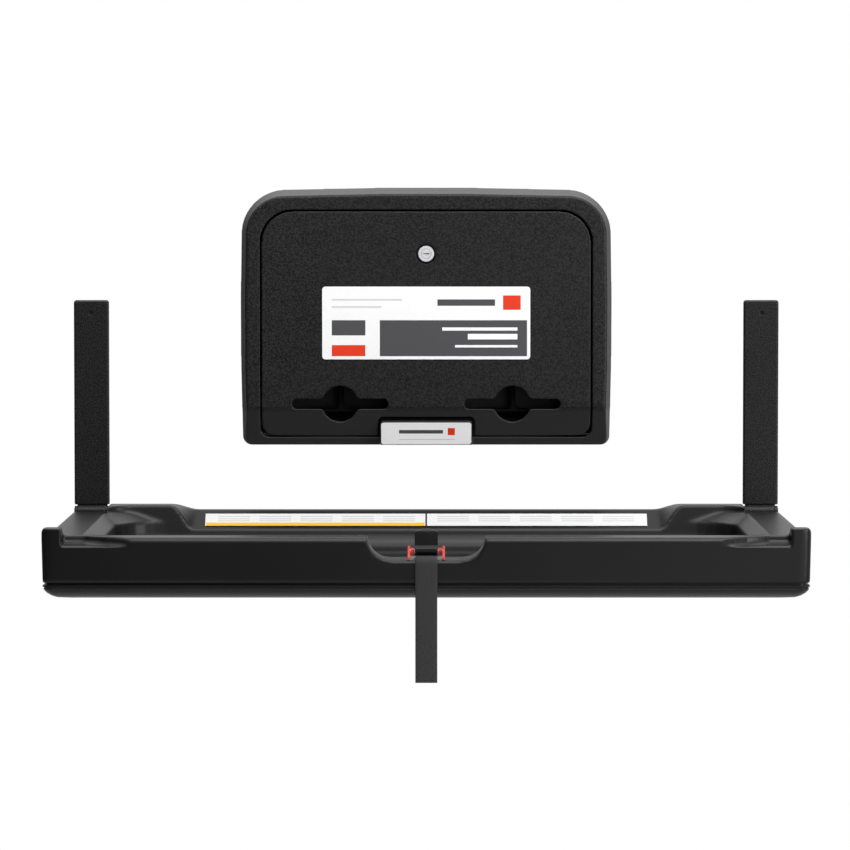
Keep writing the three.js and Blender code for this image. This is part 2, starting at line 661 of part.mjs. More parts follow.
function basinRing(z, grow, at = z) {
  const level = Math.min(z, LIP.height);
  const bevel = THREE.MathUtils.clamp(1 + level / BASIN.bevelDepth, 0, 1);
  const inset = coveInset(level);
  const wide = BASIN.halfWidth - BASIN.bevel * (1 - bevel) + level * 0.05 * (1 - bevel) - inset + grow;
  const lean = (Math.min(z, RIM.height) - BASIN.floor) * BASIN.rearSlope;
  const deep = [frontWall(level) + inset - grow, BASIN.rear + lean - inset + grow];
  const corner = THREE.MathUtils.lerp(BASIN.corner, BASIN.topCorner, bevel);
  const radius = Math.max(corner - inset * 0.6 + grow, 4);
  return roundedPoints([-wide, wide], deep, radius, radius, 7).map(
    ([x, y]) => new THREE.Vector3(x, y, at),
  );
}

const basinLevels = [RIM.height, LIP.height, 0, -6, -12, -20, -28, -36, -43, -48, -51, -52];

function basin(grow) {
  const rings = basinLevels.map((z) => basinRing(z, grow, z - grow));
  return loft([basinRing(RIM.height, grow, 40), ...rings], acrossZ);
}

// The dip in the rear rim: level behind, then a ramp down to the bed, with S-shaped ends
function rearDip(lower) {
  const back = TRAY.back + 5;
  const rampTop = BASIN.rear + RIM.width;
  const section = (y, shoulder, foot, floor) => {
    const half = [];
    for (let i = 0; i <= 8; i++) {
      const t = i / 8;
      const ease = t * t * (3 - 2 * t);
      half.push([shoulder + (foot - shoulder) * t, RIM.height + (floor - RIM.height) * ease - lower]);
    }
    const top = [[shoulder, 40]];
    const right = [...top, ...half];
    const left = right.map(([x, z]) => [-x, z]).reverse();
    return [...right, ...left].map(([x, z]) => new THREE.Vector3(x, y, z));
  };
  return loft(
    [
      section(back, RIM.shoulder, RIM.foot, RIM.centre),
      section(rampTop, RIM.shoulder, RIM.foot, RIM.centre),
      section(BASIN.rear - 2, RIM.shoulder + 4, RIM.foot + 10, RIM.centre - RIM.drop * 1.07),
    ],
    acrossY,
  );
}

// The scoop in the front lip is a flat-bottomed bowl
function scoop(grow) {
  const steps = 10;
  const side = [];
  for (let i = 0; i <= steps; i++) {
    const angle = (Math.PI / 2) * (i / steps);
    const u = SCOOP.halfBottom + (SCOOP.halfTop - SCOOP.halfBottom) * Math.cos(angle) + grow;
    side.push([u, LIP.height - (LIP.height - SCOOP.floor) * Math.sin(angle) - grow]);
  }
  const outline = [[SCOOP.halfTop + grow, 40], ...side];
  outline.push(...outline.map(([x, z]) => [-x, z]).reverse());
  return alongY(outline, [TRAY.front - 5, -430]);
}

// The front top edge is rounded, and beside each post it falls away to a ledge
function frontRound() {
  const steps = 4;
  const round = 7;
  const outline = [[TRAY.front - 5, LIP.height - round - 2]];
  for (let i = 0; i <= steps; i++) {
    const angle = (Math.PI / 2) * (i / steps);
    const up = LIP.height - round + round * Math.sin(angle);
    outline.push([TRAY.front + round - round * Math.cos(angle), up]);
  }
  outline.push([TRAY.front + round, 40], [TRAY.front - 5, 40]);
  return alongX(outline, [-POST.inner, POST.inner]);
}

function ledge(side, lower) {
  const rise = LEDGE.drop + LIP.height;
  const section = (x, depth) => {
    const front = TRAY.front - 5;
    const floor = -LEDGE.drop - lower;
    const back = (share) => TRAY.front + depth * share + lower;
    const points = [
      [front, floor],
      [back(0.65), floor + rise * 0.08],
      [back(0.92), floor + rise * 0.28],
      [back(1), floor + rise * 0.6],
      [back(1), 40],
      [front, 40],
    ];
    return points.map(([y, z]) => new THREE.Vector3(side * x, y, z));
  };
  return loft(
    [
      section(POST.inner + lower, LEDGE.depth),
      section(LEDGE.deep, LEDGE.depth),
      section(LEDGE.shallow, LEDGE.shallowDepth),
      section(LEDGE.end - lower, 0.5),
    ],
    acrossX,
  );
}

function cornerPost(side) {
  const x = mirrored(side, POST.inner - 2 * POST.round, TRAY.halfWidth);
  const outline = roundedShape(x, [-20, POST.height], 1, POST.round, 4);
  const inside = box(mirrored(side, 0, POST.inner), [-2 * FAR, 0], [-FAR, FAR]);
  const slope = [
    [TRAY.front + POST.depth - 6, POST.height + 1],
    [TRAY.front + POST.depth + 14, -3],
    [TRAY.front + POST.depth + 14, POST.height + 1],
  ];
  const post = alongY(outline, [TRAY.front, TRAY.front + POST.depth + 10]);
  return cut(post, alongX(slope, [-2 * FAR, 2 * FAR]), inside);
}

const baseScrewPlaces = [
  [-416, -120],
  [416, -120],
  [-416, -400],
  [416, -400],
];

function trayShell() {
  const full = loft([trayRing(0, 40), trayRing(0, 0), trayRing(TRAY.draft, TRAY.parting)], acrossZ);
  const deck = full.intersect(box([-2 * FAR, 2 * FAR], [-2 * FAR, FAR], [-FAR, 0]));
  const lip = box([-POST.inner, POST.inner], [TRAY.front, TRAY.front + 40], [-10, LIP.height]);
  const rim = box([-RIM.end, RIM.end], [BASIN.rear - 20, TRAY.back], [-5, RIM.height]);
  const posts = SIDES.map(([, side]) => cornerPost(side).intersect(full));
  const ledges = SIDES.map(([, side]) => ledge(side, 0));
  const outside = cut(join(deck, lip, rim), rearDip(0), frontRound(), ...ledges);

  const skin = TRAY.skin;
  const underPan = box([-2 * FAR, 2 * FAR], [-2 * FAR, FAR], [-FAR, TRAY.parting + 1]);
  const pan = basin(skin).intersect(underPan);
  const room = loft([trayRing(skin, -skin), trayRing(skin + TRAY.draft, TRAY.parting - 5)], acrossZ);
  const lowered = SIDES.map(([, side]) => ledge(side, skin));
  const hollow = cut(room, basin(skin), rearDip(skin), scoop(skin), ...lowered);

  const notches = SIDES.map(([, side]) =>
    box(mirrored(side, ARM.x - ARM.halfWidth, 2 * FAR), [HINGE.y - 9, FAR], [BRACKET.seat[0] - 1, FAR]),
  );
  const sillRound = alongX(
    [
      [TRAY.front - 2, SCOOP.floor - 5],
      [TRAY.front + 5, SCOOP.floor + 2],
      [TRAY.front - 2, SCOOP.floor + 2],
    ],
    [-SCOOP.halfBottom, SCOOP.halfBottom],
  );
  const slot = box(
    [-ANCHOR.halfSlot - 0.5, ANCHOR.halfSlot + 0.5],
    [ANCHOR.y - ANCHOR.slotDepth / 2 - 0.5, ANCHOR.y + ANCHOR.slotDepth / 2 + 0.5],
    [-70, -40],
  );
  const bosses = baseScrewPlaces.map(([x, y]) => rod("z", 6, [TRAY.parting + 0.5, -3], [x, y], 16));
  const holes = baseScrewPlaces.map(([x, y]) => rod("z", SCREW.tapped, [-70, -26], [x, y], 12));
  const filled = join(outside, pan, ...posts);
  const shell = cut(filled, basin(0), scoop(0), hollow, ...notches, sillRound, slot);
  return cut(join(shell, ...bosses), ...holes);
}

// The shell is divided beyond the coves of the basin, so that each section is a simple form
function traySections() {
  const shell = trayShell();
  const half = GAP / 2;
  const deep = [-2 * FAR, 2 * FAR];
  const middle = [-SPLIT.x + half, SPLIT.x - half];
  const end = (side) => shell.intersect(box(mirrored(side, SPLIT.x + half, 2 * FAR), deep, deep));
  return {
    tray_end_left: end(-1),
    tray_end_right: end(1),
    tray_front: shell.intersect(box(middle, [-2 * FAR, SPLIT.y - half], deep)),
    tray_bed: shell.intersect(box(middle, [SPLIT.y + half, 2 * FAR], deep)),
  };
}

// The lower cover has a rounded edge, and a tongue that stands inside the shell behind the groove
function trayBase() {
  const top = TRAY.parting - TRAY.groove;
  const tall = top - TRAY.bottom;
  const { draft, bead } = TRAY;
  const ridge = [
    [draft, top],
    [draft, top - bead],
    [draft + bead, top - bead - 0.3],
    [draft + bead, top - 2 * bead],
  ].map(([inset, z]) => trayRing(inset, z));
  const rounded = [0.25, 0.4, 0.55, 0.75, 0.9, 1].map((t) => {
    const inset = draft + TRAY.baseRound * (1 - Math.sqrt(1 - t * t));
    return trayRing(inset, top - tall * t);
  });
  const tongue = TRAY.skin + TRAY.draft + 0.4;
  const inner = tongue + 2.5;
  const rise = 6;
  const upstand = loft([trayRing(tongue, top - 2), trayRing(tongue, top + rise)], acrossZ);
  const body = loft([...ridge, ...rounded], acrossZ).add(upstand);
  const room = loft(
    [
      trayRing(inner, top + rise + 2),
      trayRing(inner, top - 3),
      trayRing(inner + 4, top - 7),
      trayRing(inner + 14, TRAY.bottom + 3),
    ],
    acrossZ,
  );
  const standoffs = baseScrewPlaces.map(([x, y]) =>
    rod("z", 6, [TRAY.bottom + 2.5, TRAY.parting], [x, y], 16),
  );
  const screwHoles = baseScrewPlaces.map(([x, y]) =>
    join(
      rod("z", SCREW.clearance, [TRAY.bottom - 1, 0], [x, y], 12),
      rod("z", SCREW.sink, [TRAY.bottom - 1, TRAY.bottom + 1.9], [x, y], 16),
    ),
  );
  const hingeRoom = SIDES.map(([, side]) =>
    box(mirrored(side, ARM.x - ARM.halfWidth, 2 * FAR), [-60, TRAY.back + 1], [top + 2, 0]),
  );
  return cut(join(cut(body, room, ...hingeRoom), ...standoffs), ...screwHoles);
}

function baseScrew([x, y]) {
  const head = rod("z", SCREW.head, [TRAY.bottom + 0.2, TRAY.bottom + 1.6], [x, y], 16);
  return head.add(rod("z", SCREW.shank, [TRAY.bottom + 1.2, -29], [x, y], 12));
}

function crossTube() {
  const half = ARM.x - HINGE.neck - GAP;
  const { y, z, wall } = TUBE;
  const inside = [y, z].map(([low, high]) => [low + wall, high - wall]);
  return box([-half, half], y, z).subtract(box([-2 * FAR, 2 * FAR], ...inside));
}

// A rubber block on the rear wall that meets the wall plate when the tray is down
function stopBumper(side) {
  const { halfWidth, z, round } = BUMPER;
  const x = [side * ARM.x - halfWidth, side * ARM.x + halfWidth];
  const outline = roundedShape(x, z, round, round, 4);
  return alongY(outline, [TRAY.back - 0.4, -PLATE.thickness - GAP]);
}

// Thin strips lie on the rear ramp, in a group turned to its slope
function rearStrips() {
  const slope = Math.atan2(RIM.drop, RIM.width);
  const ramp = new THREE.Group();
  ramp.position.set(0, BASIN.rear + RIM.width / 2, RIM.centre - RIM.drop / 2);
  ramp.rotation.x = slope;
  tray.add(ramp);
  const { x, y, thickness, above } = REAR_STRIP;
  for (const [word, side] of SIDES) {
    const strip = box(mirrored(side, ...x), y, [above, above + thickness]);
    place(ramp, `rear_strip_${word}`, strip, "plate");
  }
}

function strapAnchor() {
  const { y, halfSlot, slotDepth, halfWidth, halfDepth, thickness } = ANCHOR;
  const low = BASIN.floor + GAP;
  const outline = roundedPoints([-halfWidth, halfWidth], [y - halfDepth, y + halfDepth], 5, 5, 4);
  const rings = [low, low + thickness].map((z) => outline.map(([u, v]) => new THREE.Vector3(u, v, z)));
  const slot = box([-halfSlot, halfSlot], [y - slotDepth / 2, y + slotDepth / 2], [-70, 0]);
  return loft(rings, acrossZ).subtract(slot);
}

function strapBar() {
  const { radius, halfLength, z } = ANCHOR_BAR;
  return rod("x", radius, [-halfLength, halfLength], [ANCHOR.y, z], 12);
}

// The strap rises through the floor slot, crosses the bed, climbs the front wall, runs over the sill
// under the cam, and bends down the front of the tray
const strapRise = STRAP.thickness / 2 + GAP;
const sillZ = SCOOP.floor + 1.5 + 2 * GAP + strapRise;
const frontBend = { radius: 6, y: TRAY.front - strapRise - 0.2 };

function strapPath() {
  const onPlate = BASIN.floor + GAP + ANCHOR.thickness + strapRise;
  const onFloor = BASIN.floor + strapRise;
  const path = [
    [ANCHOR.y, ANCHOR_BAR.z + ANCHOR_BAR.radius + 0.5],
    [ANCHOR.y, onPlate - 3],
    [ANCHOR.y - 1, onPlate - 0.9],
    [ANCHOR.y - 3, onPlate],
    [ANCHOR.y - ANCHOR.halfDepth - 1, onPlate],
    [ANCHOR.y - ANCHOR.halfDepth - 9, onFloor],
  ];
  const wallLevels = [-51.6, -50, -47, -43, -38, -32, -27];
  for (const z of wallLevels) path.push([frontWall(z) + coveInset(z) + 1.1, z + 1.6]);
  path.push([frontWall(SCOOP.floor) + 0.6, sillZ - 1.2], [frontWall(SCOOP.floor) - 3, sillZ]);
  for (let i = 0; i <= 5; i++) {
    const angle = (Math.PI / 2) * (i / 5);
    const { radius, y } = frontBend;
    path.push([y + radius - radius * Math.sin(angle), sillZ - radius + radius * Math.cos(angle)]);
  }
  path.push([frontBend.y, TRAY.bottom - 0.4]);
  return path;
}

const strapBed = () => strip(strapPath(), STRAP.thickness, STRAP.width / 2);

// The free end hangs straight down from the lower front edge
function strapTail() {
  const half = STRAP.width / 2;
  const y = [frontBend.y - STRAP.thickness / 2, frontBend.y + STRAP.thickness / 2];
  return box([-half, half], y, [STRAP.tailEnd, TRAY.bottom - 1]);
}

// Cam buckle on the sill
const axle = [BUCKLE.axleY, BUCKLE.axleZ];
const buckleFloor = SCOOP.floor + GAP + 1.5;

function bucklePlate() {
  const half = BUCKLE.halfWidth - 0.3;
  return box([-half, half], [BUCKLE.front + 1, BUCKLE.back], [SCOOP.floor + GAP, buckleFloor]);
}

function buckleFrame() {
  const low = buckleFloor + GAP;
  const sill = SCOOP.floor + GAP;
  const cheek = [
    [BUCKLE.front + 0.6, low],
    [BUCKLE.front + 0.6, sill],
    [TRAY.front + 3, sill],
    [TRAY.front + 3, sill + 3],
    [BUCKLE.front, low + 6],
    [BUCKLE.axleY - 5, BUCKLE.top],
    [BUCKLE.axleY + 7, BUCKLE.top],
    [BUCKLE.back, low + 6],
    [BUCKLE.back, low],
  ];
  const cheeks = SIDES.map(([, side]) =>
    alongX(cheek, mirrored(side, AXLE.cheekX, BUCKLE.halfWidth)),
  );
  const half = AXLE.cheekX + 1;
  const bar = box([-half, half], [BUCKLE.back - 4, BUCKLE.back], [low + 2.4, low + 5.6]);
  return cut(join(...cheeks, bar), axleHole());
}

const axleHole = () => rod("x", AXLE.hole, [-FAR, FAR], axle, 16);
const buckleAxle = () => rod("x", AXLE.radius, [-BUCKLE.halfWidth, BUCKLE.halfWidth], axle, 16);

function axleSleeve(side) {
  return rod("x", AXLE.sleeve, mirrored(side, ...AXLE.sleeveX), axle, 16).subtract(axleHole());
}

// The lever: a round cam on the axle, a nose in front and a thumb tab that leans back, with an arched top
function buckleLever() {
  const half = STRAP.width / 2 + 0.7;
  const [y, z] = axle;
  const cam = rod("x", LEVER.cam, [-half, half], axle, 20);
  const nose = [
    [y - LEVER.nose, z + 3],
    [y - LEVER.nose + 0.4, z - 0.6],
    [y, z - 1],
    [y, z + 7],
    [y - 4, z + 7],
  ];
  const tab = [
    [y - 4.6, z + 1],
    [y, z + 2],
    [y + 4.5, z + LEVER.tall],
    [y + 0.5, z + LEVER.tall],
    [y - 3.2, z + LEVER.tall - 3],
    [y - 4.2, z + LEVER.tall - 8],
  ];
  const arch = new THREE.Shape();
  arch.moveTo(-half, z - 10);
  arch.lineTo(half, z - 10);
  arch.lineTo(half, z + LEVER.shoulder);
  arch.quadraticCurveTo(0, z + LEVER.crown, -half, z + LEVER.shoulder);
  arch.closePath();
  const body = join(cam, alongX(nose, [-half, half]), alongX(tab, [-half, half]));
  return cut(body.intersect(alongY(arch, [-2 * FAR, 0])), axleHole());
}

for (const [name, section] of Object.entries(traySections())) place(tray, name, section, "tray");
place(tray, "tray_base", trayBase(), "tray");
baseScrewPlaces.forEach((at, i) => place(tray, `base_screw_${i + 1}`, baseScrew(at), "bright"));
place(tray, "cross_tube", crossTube(), "steel");
rearStrips();
place(tray, "strap_anchor", strapAnchor(), "lever");
place(tray, "strap_bar", strapBar(), "bright");
place(tray, "strap_bed", strapBed(), "webbing");
place(tray, "strap_tail", strapTail(), "webbing");
place(tray, "buckle_plate", bucklePlate(), "bright");
place(tray, "buckle_frame", buckleFrame(), "red");
place(tray, "buckle_axle", buckleAxle(), "bright");
place(tray, "buckle_lever", buckleLever(), "lever");
for (const [word, side] of SIDES) {
  place(tray, `stop_bumper_${word}`, stopBumper(side), "rubber");
  place(tray, `axle_sleeve_${word}`, axleSleeve(side), "red");
}

export default station;
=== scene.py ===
"""Looks for a wall-mounted baby changing station with a liner dispenser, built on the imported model."""

import json
import math

import bmesh
import bpy
from bpy.props import FloatProperty, FloatVectorProperty, PointerProperty
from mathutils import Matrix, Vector

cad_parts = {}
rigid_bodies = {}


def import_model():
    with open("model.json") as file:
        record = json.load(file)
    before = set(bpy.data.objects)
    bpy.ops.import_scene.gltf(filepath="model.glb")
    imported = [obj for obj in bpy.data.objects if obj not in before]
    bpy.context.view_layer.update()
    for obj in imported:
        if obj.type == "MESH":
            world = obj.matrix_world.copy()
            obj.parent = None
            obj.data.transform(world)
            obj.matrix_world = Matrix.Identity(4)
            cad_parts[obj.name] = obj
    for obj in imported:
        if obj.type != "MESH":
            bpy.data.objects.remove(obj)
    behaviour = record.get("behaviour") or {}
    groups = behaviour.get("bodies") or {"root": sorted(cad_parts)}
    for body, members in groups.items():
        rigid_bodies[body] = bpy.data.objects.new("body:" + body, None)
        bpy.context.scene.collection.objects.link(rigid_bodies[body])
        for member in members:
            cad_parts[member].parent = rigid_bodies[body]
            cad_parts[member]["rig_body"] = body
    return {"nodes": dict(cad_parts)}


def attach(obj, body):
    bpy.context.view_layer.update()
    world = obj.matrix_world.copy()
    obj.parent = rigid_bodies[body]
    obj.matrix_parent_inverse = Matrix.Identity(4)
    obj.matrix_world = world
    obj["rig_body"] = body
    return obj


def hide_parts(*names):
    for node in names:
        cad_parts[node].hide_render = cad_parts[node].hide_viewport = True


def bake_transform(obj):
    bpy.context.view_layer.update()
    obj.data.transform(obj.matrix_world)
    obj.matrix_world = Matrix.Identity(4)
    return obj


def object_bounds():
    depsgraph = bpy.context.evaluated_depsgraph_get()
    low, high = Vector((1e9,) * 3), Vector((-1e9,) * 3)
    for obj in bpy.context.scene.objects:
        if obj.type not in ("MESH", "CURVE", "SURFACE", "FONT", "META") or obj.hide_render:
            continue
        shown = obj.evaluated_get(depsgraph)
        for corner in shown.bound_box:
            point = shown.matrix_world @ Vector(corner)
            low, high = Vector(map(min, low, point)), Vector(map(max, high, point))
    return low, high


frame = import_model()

bl_info = {
    "name": "Baby changing station",
    "version": (1, 0, 0),
    "blender": (4, 5, 0),
    "location": "View3D > Sidebar > Station",
    "description": "Dresses the packed model of a fold-down changing station",
    "category": "Object",
}

NODES = frame["nodes"]
CAD_BOX = [list(corner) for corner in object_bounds()]
SIDES = ("left", "right")
MM = 0.001

# The first stretch of the strap's route in (y, z), millimetres, from its bar under the bed
STRAP_START = [
    (-92.0, -302.7),
    (-92.0, -296.6),
    (-93.0, -294.5),
    (-95.0, -293.6),
    (-105.0, -293.6),
    (-113.0, -295.9),
]
# What the strap runs along, in millimetres: the bed's front wall, the scoop's floor and the tray's front
DECK_Z = -245.0
BED_FLOOR, BED_COVE = -52.0, 24.0
LIP_BACK, LIP_TOP, WALL_SLOPE = -470.0, 4.0, 0.77
WALL_LEVELS = (-51.6, -50, -47, -43, -38, -32, -27)
SCOOP_FLOOR, STRAP_ON_SCOOP = -23.0, 3.2
STRAP_FRONT, STRAP_END = -501.3, -409.5
STRAP_BEND, BEND_STEPS = 6.0, 5
# Planes at which the tray's shell is divided: axis and place
SEAMS = ((0, -0.362), (0, 0.362), (1, -0.404))
SEAM_GAP = 0.00016
TRAY_SECTIONS = ("tray_bed", "tray_front", "tray_end_left", "tray_end_right")
# Height of the bend below which the dispenser's front loses its grain and is painted lighter, a painted
# light on the chin
CHIN_TOP = -0.112
# The camera at the photograph's place, looking a little down
CAMERA_PLACE = (-0.0015, -5.5231, 0.1435)
CAMERA_PITCH = math.radians(90 - 2.909)
CAMERA_LENS = 185.2
# Places and sizes of the lamps, and the point that they face
KEY_PLACE, KEY_SIZE = (0.5, -2.4, 2.8), 2.4
SIDE_PLACE, SIDE_SIZE = (3.0, -2.0, 0.4), 1.6
LOW_PLACE, LOW_SIZE = (1.0, -2.4, -0.55), 1.6
LAMP_AIM = Vector((0, -0.25, -0.15))
# Half the floor's width, its depth below the object, and the share of plain white in it
FLOOR_HALF, FLOOR_DROP, FLOOR_GLOW = 2.4, 0.64, 0.6


# Properties


def length(name, description, default):
    return FloatProperty(name=name, description=description, default=default, min=0, unit="LENGTH")


def amount(name, description, default):
    return FloatProperty(name=name, description=description, default=default, min=0, subtype="FACTOR")


def colour(name, description, default):
    return FloatVectorProperty(
        name=name, description=description, default=default, size=3, min=0, max=1, subtype="COLOR"
    )


class StationSizes(bpy.types.PropertyGroup):
    """Sizes of rounded edges, grain and webbing"""

    tray_voxel: length("Tray detail", "Smallest form kept on the tray shell", 0.0019)
    box_voxel: length("Box detail", "Smallest form kept on the dispenser", 0.0013)
    edge: length("Edge round", "Rounding of the edges of small pieces", 0.0007)
    grain: length("Grain", "Size of the moulded grain", 0.0016)
    strap_width: length("Strap width", "Width of the webbing", 0.0254)
    strap_thickness: length("Strap thickness", "Thickness of the webbing", 0.0016)
    rib: length("Rib", "Spacing of the webbing's ribs", 0.0021)


class StationColours(bpy.types.PropertyGroup):
    """Colours of the finishes"""

    dispenser: colour("Dispenser", "Grained plastic of the dispenser", (0.0100, 0.0100, 0.0102))
    arm: colour("Arm", "Grained plastic of the arm covers", (0.0072, 0.0072, 0.0074))
    tray: colour("Tray", "Satin plastic of the tray", (0.0046, 0.0046, 0.0048))
    steel: colour("Black steel", "Painted steel", (0.0110, 0.0110, 0.0114))
    bright: colour("Bright steel", "Bare steel", (0.62, 0.62, 0.64))
    nylon: colour("Nylon", "Hinge bushes", (0.66, 0.64, 0.57))
    rubber: colour("Rubber", "Stop bumpers", (0.012, 0.012, 0.012))
    plate: colour("Plate", "White plates and strips", (0.86, 0.86, 0.86))
    ink: colour("Ink", "Dark blocks on the plates", (0.070, 0.070, 0.076))
    pale_ink: colour("Pale ink", "Light bars on the plates", (0.58, 0.58, 0.60))
    accent: colour("Accent", "Red blocks on the plates", (0.72, 0.040, 0.012))
    amber: colour("Amber", "Amber blocks on the strips", (0.84, 0.50, 0.04))
    webbing: colour("Webbing", "Strap yarn", (0.0062, 0.0062, 0.0065))
    red: colour("Red", "Buckle frame", (0.46, 0.036, 0.028))
    lever: colour("Lever", "Black plastic of the lever and small pieces", (0.004, 0.004, 0.0043))
    floor: colour("Floor", "Floor", (0.90, 0.90, 0.90))


class StationLight(bpy.types.PropertyGroup):
    """Strength of the studio light"""

    fill: amount("Fill", "Light from all round", 0.34)
    key: FloatProperty(name="Key", description="Lamp above the front", default=116.0, min=0, unit="POWER")
    side: FloatProperty(name="Side", description="Lamp on the right", default=70.0, min=0, unit="POWER")
    low: FloatProperty(name="Low", description="Lamp low in front", default=10.0, min=0, unit="POWER")


class StationSettings(bpy.types.PropertyGroup):
    """All settings of the station"""

    sizes: PointerProperty(type=StationSizes)
    colours: PointerProperty(type=StationColours)
    light: PointerProperty(type=StationLight)


# Shader maths


class Value:
    """A shader socket that takes part in arithmetic."""

    def __init__(self, finish, socket):
        self.finish = finish
        self.socket = socket

    def math(self, operation, *values):
        return self.finish.node("ShaderNodeMath", {"operation": operation}, dict(enumerate(values)))

    def __add__(self, other):
        return self.math("ADD", self, other)

    def __radd__(self, other):
        return self.math("ADD", other, self)

    def __sub__(self, other):
        return self.math("SUBTRACT", self, other)

    def __rsub__(self, other):
        return self.math("SUBTRACT", other, self)

    def __mul__(self, other):
        return self.math("MULTIPLY", self, other)

    def __rmul__(self, other):
        return self.math("MULTIPLY", other, self)

    def __truediv__(self, other):
        return self.math("DIVIDE", self, other)

    def __mod__(self, other):
        return self.math("FLOORED_MODULO", self, other)

    def __abs__(self):
        return self.math("ABSOLUTE", self)

    def __gt__(self, other):
        return self.math("GREATER_THAN", self, other)

    def __lt__(self, other):
        return self.math("LESS_THAN", self, other)

    def sine(self):
        return self.math("SINE", self)

    def floor(self):
        return self.math("FLOOR", self)

    def limited(self):
        return self.math("MINIMUM", self.math("MAXIMUM", self, 0.0), 1.0)

    def within(self, low, high):
        return (self > low) * (self < high)


class Nodes:
    """A node tree that hands out its sockets as values."""

    def __init__(self, tree):
        self.tree = tree

    def node(self, kind, settings=None, sockets=None, out=0):
        made = self.tree.nodes.new(kind)
        for word, setting in (settings or {}).items():
            setattr(made, word, setting)
        for key, value in (sockets or {}).items():
            self.feed(made.inputs[key], value)
        return Value(self, made.outputs[out])

    def feed(self, socket, value):
        if isinstance(value, Value):
            self.tree.links.new(value.socket, socket)
        else:
            socket.default_value = value

    def axes(self, source):
        split = self.node("ShaderNodeSeparateXYZ", sockets={0: source}).socket.node
        return [Value(self, socket) for socket in split.outputs]

    def rays(self):
        """What the camera sees directly, and what it sees in a reflection or through glass."""
        path = self.node("ShaderNodeLightPath").socket.node
        words = ("Is Camera Ray", "Is Glossy Ray", "Is Transmission Ray")
        camera, glossy, through = (Value(self, path.outputs[word]) for word in words)
        return camera, glossy.math("MAXIMUM", glossy, through)


class Finish(Nodes):
    """The nodes of one material, built round its Principled shader."""

    def __init__(self, name, numbers=None):
        self.material = bpy.data.materials.new(name)
        self.material.use_nodes = True
        super().__init__(self.material.node_tree)
        self.shader = self.tree.nodes["Principled BSDF"]
        for word, number in (numbers or {}).items():
            self.shader.inputs[word].default_value = number

    def place(self):
        return self.node("ShaderNodeTexCoord", out="Object")

    def noise(self, scale, detail=3.0, vector=None):
        sockets = {"Scale": scale, "Detail": detail, "Vector": vector or self.place()}
        return self.node("ShaderNodeTexNoise", sockets=sockets)

    def cells(self, scale, vector=None):
        sockets = {"Scale": scale, "Vector": vector or self.place()}
        return self.node("ShaderNodeTexVoronoi", {"feature": "SMOOTH_F1"}, sockets)

    def stretched(self, scale):
        sockets = {"Vector": self.place(), "Scale": scale}
        return self.node("ShaderNodeMapping", sockets=sockets)

    def mix(self, factor, low, high):
        tones = [tone if isinstance(tone, Value) else (*tone, 1.0) for tone in (low, high)]
        settings = {"data_type": "RGBA"}
        return self.node("ShaderNodeMix", settings, {0: factor, 6: tones[0], 7: tones[1]}, out=2)

    def dress(self, base, roughness, height, depth, strength=1.0):
        """Colour, roughness and a bump of the given depth in metres."""
        sockets = {"Height": height, "Distance": depth, "Strength": strength}
        normal = self.node("ShaderNodeBump", sockets=sockets, out="Normal")
        for word, value in (("Base Color", base), ("Roughness", roughness), ("Normal", normal)):
            self.feed(self.shader.inputs[word], value)
        return self.material


def shade(tone, factor):
    return tuple(min(1.0, part * factor) for part in tone)


# Finishes


def grained_plastic(name, tone, grain, smooth_lit_below=-math.inf):
    """Moulded black plastic with a fine pebbled grain; below a height it fades to a grainless face with
    painted light, a lighter tone for the chin.
    """
    finish = Finish(name, {"Specular IOR Level": 0.22})
    pebble = finish.cells(1 / grain) * 0.7 + finish.noise(1.6 / grain, 2.0) * 0.5
    blotch = finish.noise(0.7 / grain, 2.0)
    speckle = ((blotch - 0.5) * 4.0 + 0.5).limited()
    cloud = finish.noise(9.0, 2.0)
    base = finish.mix(speckle * 0.8 + cloud * 0.2, shade(tone, 0.1), shade(tone, 1.9))
    relief = pebble + blotch
    if math.isfinite(smooth_lit_below):
        _, _, height = finish.axes(finish.place())
        smooth_lit = ((smooth_lit_below - height) * 150.0).limited()
        # Below the height the tone is raised 3.2 times: painted light on the chin, which turns away from
        # the lamps; the grain also fades there
        base = finish.mix(smooth_lit, base, shade(tone, 3.2))
        relief = relief * (1 - smooth_lit * 0.85)
    return finish.dress(base, 0.38 + 0.14 * pebble, relief, 0.3 * MM, 0.8)


def satin_plastic(name, tone):
    """Smooth moulded plastic with a slight orange peel and uneven polish."""
    finish = Finish(name, {"Specular IOR Level": 0.22})
    peel = finish.noise(260.0, 2.0)
    cloud = finish.noise(7.0, 3.0)
    base = finish.mix(cloud, shade(tone, 0.8), shade(tone, 1.25))
    return finish.dress(base, 0.30 + 0.08 * cloud + 0.05 * peel, peel, 0.05 * MM, 0.25)


def painted_steel(name, tone):
    """Powder-coated steel."""
    finish = Finish(name, {"Specular IOR Level": 0.3})
    peel = finish.noise(700.0, 2.0)
    base = finish.mix(peel, shade(tone, 0.7), shade(tone, 1.4))
    return finish.dress(base, 0.40 + 0.15 * peel, peel, 0.08 * MM, 0.4)


def bare_steel(name, tone, metallic=1.0):
    """Steel with drawn lines along X; less metallic stands for a dull plated face."""
    finish = Finish(name, {"Metallic": metallic})
    lines = finish.noise(1.0, 4.0, finish.stretched((120.0, 2600.0, 2600.0)))
    cloud = finish.noise(60.0, 2.0)
    base = finish.mix(lines * 0.7 + cloud * 0.3, shade(tone, 0.75), shade(tone, 1.15))
    roughness = 0.24 + 0.3 * (1 - metallic)
    return finish.dress(base, roughness + 0.18 * lines, lines, 0.03 * MM, 0.3 * metallic)


def plain_plastic(name, tone, roughness, shine=0.25):
    """Smooth moulded plastic for small pieces."""
    finish = Finish(name, {"Specular IOR Level": shine})
    cloud = finish.noise(80.0, 3.0)
    speck = finish.noise(900.0, 1.0)
    base = finish.mix(cloud, shade(tone, 0.82), shade(tone, 1.2))
    return finish.dress(base, roughness + 0.12 * cloud, speck, 0.04 * MM, 0.3)


